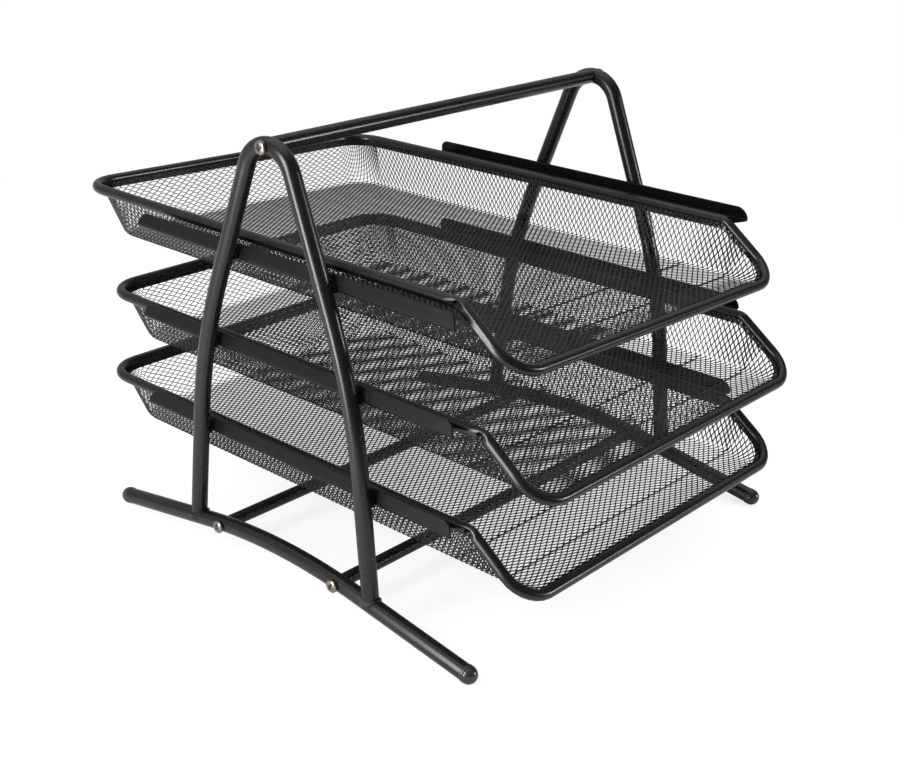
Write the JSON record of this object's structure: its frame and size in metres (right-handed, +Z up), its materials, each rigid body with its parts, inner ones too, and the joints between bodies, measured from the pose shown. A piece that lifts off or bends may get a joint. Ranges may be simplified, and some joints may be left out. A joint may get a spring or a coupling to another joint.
{
  "type": "letter tray stack",
  "caption": "Desk stack of wire-mesh letter trays that slide on rails inside a bent-tube stand with A-shaped side frames and a top handle bar.",
  "frame": {"origin": "on the floor, below the middle of the whole stack with its trays at rest", "axes": "+X to the right, -Y to the front where the tray lips are, +Z up"},
  "size_m": [0.3026, 0.3883, 0.271],
  "materials": {
    "frame_coat": "satin black powder coat on bent steel tube",
    "rail_coat": "satin black powder coat on folded sheet",
    "rim_coat": "satin black powder coat on rolled sheet",
    "mesh_coat": "satin black powder coat on expanded metal mesh",
    "cap_plastic": "smooth moulded plastic",
    "screw_steel": "dull nickel plate",
    "insert_steel": "zinc plate"
  },
  "bodies": {
    "stand": {"left_frame_tube": "frame_coat", "left_foot_tube": "frame_coat", "left_front_foot_cap": "cap_plastic", "left_rear_foot_cap": "cap_plastic", "left_bottom_rail": "rail_coat", "left_middle_rail": "rail_coat", "left_top_rail": "rail_coat", "right_frame_tube": "frame_coat", "right_foot_tube": "frame_coat", "right_front_foot_cap": "cap_plastic", "right_rear_foot_cap": "cap_plastic", "right_bottom_rail": "rail_coat", "right_middle_rail": "rail_coat", "right_top_rail": "rail_coat", "handle_bar": "frame_coat", "front_crossbar": "frame_coat", "rear_crossbar": "frame_coat", "threaded_inserts": "insert_steel", "frame_screws": "screw_steel", "leg_welds": "frame_coat", "rail_welds": "frame_coat"},
    "bottom_tray": {"bottom_tray_rim": "rim_coat", "bottom_tray_mesh": "mesh_coat"},
    "middle_tray": {"middle_tray_rim": "rim_coat", "middle_tray_mesh": "mesh_coat"},
    "top_tray": {"top_tray_rim": "rim_coat", "top_tray_mesh": "mesh_coat"}
  },
  "joints": [
    {"name": "bottom_tray_slide", "type": "slide", "parent": "stand", "child": "bottom_tray", "axis": [0, -1, 0], "range_m": [-0.01, 0.2]},
    {"name": "middle_tray_slide", "type": "slide", "parent": "stand", "child": "middle_tray", "axis": [0, -1, 0], "range_m": [-0.015, 0.2]},
    {"name": "top_tray_slide", "type": "slide", "parent": "stand", "child": "top_tray", "axis": [0, -1, 0], "range_m": [0, 0.2]}
  ]
}
